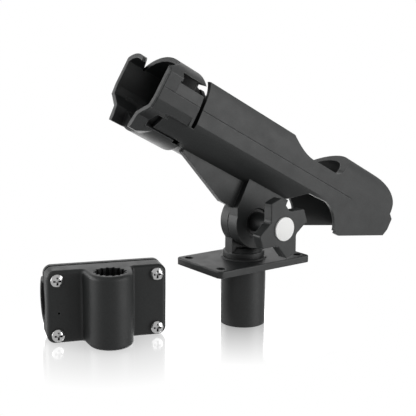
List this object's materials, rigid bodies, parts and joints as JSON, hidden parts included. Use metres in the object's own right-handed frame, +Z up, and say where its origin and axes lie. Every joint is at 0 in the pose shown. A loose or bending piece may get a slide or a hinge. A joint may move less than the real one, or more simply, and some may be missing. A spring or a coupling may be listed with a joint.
{
  "type": "rod holder",
  "caption": "Tilting rod cradle with a turning locking collar on a splined post, in a deck socket plate, with a two-jaw rail clamp bracket beside it.",
  "frame": {"origin": "on the tube axis in the plane of the deck plate's underside", "axes": "+X towards the rod's butt, -X towards the mouth, -Y towards the star knob, +Z up along the tube, in metres"},
  "size_m": [0.2786, 0.1183, 0.1986],
  "materials": {
    "nylon": "black glass-filled nylon, satin as moulded",
    "cap": "smooth white",
    "screws": "polished stainless",
    "stainless": "plain",
    "brass": "turned",
    "friction": "matt fibre",
    "acetal": "black acetal, turned smooth",
    "rubber": "matt"
  },
  "bodies": {
    "deck": {"deck_socket": "nylon"},
    "post": {"post": "nylon", "seat_washer": "nylon", "pivot_bolt": "stainless", "friction_disc": "friction"},
    "cradle": {"cradle_body": "nylon", "collar_ring": "stainless", "collar_seal": "rubber", "disc_springs": "stainless", "thrust_washer": "acetal"},
    "collar": {"locking_collar": "nylon"},
    "knob": {"star_knob": "nylon", "knob_insert": "brass", "knob_cap": "cap"},
    "bracket": {"bracket_front": "nylon", "rail_liner_front": "rubber", "clamp_screws": "screws"},
    "rear_jaw": {"bracket_rear": "nylon", "rail_liner_rear": "rubber", "clamp_nuts": "stainless"}
  },
  "joints": [
    {"name": "post_lift", "type": "slide", "parent": "deck", "child": "post", "axis": [0, 0, 1], "range_m": [0, 0.038]},
    {"name": "cradle_tilt", "type": "hinge", "parent": "post", "child": "cradle", "pos_m": [0, 0, 0.0336], "axis": [0, 1, 0], "range_deg": [-40, 3]},
    {"name": "collar_turn", "type": "hinge", "parent": "cradle", "child": "collar", "pos_m": [0.02055, 0, 0.07307], "axis": [0.887, 0, -0.4618], "range_deg": [-1.8, 44]},
    {"name": "knob_turn", "type": "hinge", "parent": "post", "child": "knob", "pos_m": [0, -0.04, 0.0336], "axis": [0, 1, 0], "continuous": true},
    {"name": "bracket_lift", "type": "slide", "parent": "deck", "child": "bracket", "axis": [0, 0, 1], "range_m": [0, 0.05]},
    {"name": "rear_jaw_open", "type": "slide", "parent": "bracket", "child": "rear_jaw", "axis": [0.3437, 0.9391, 0], "range_m": [0, 0.005]}
  ]
}
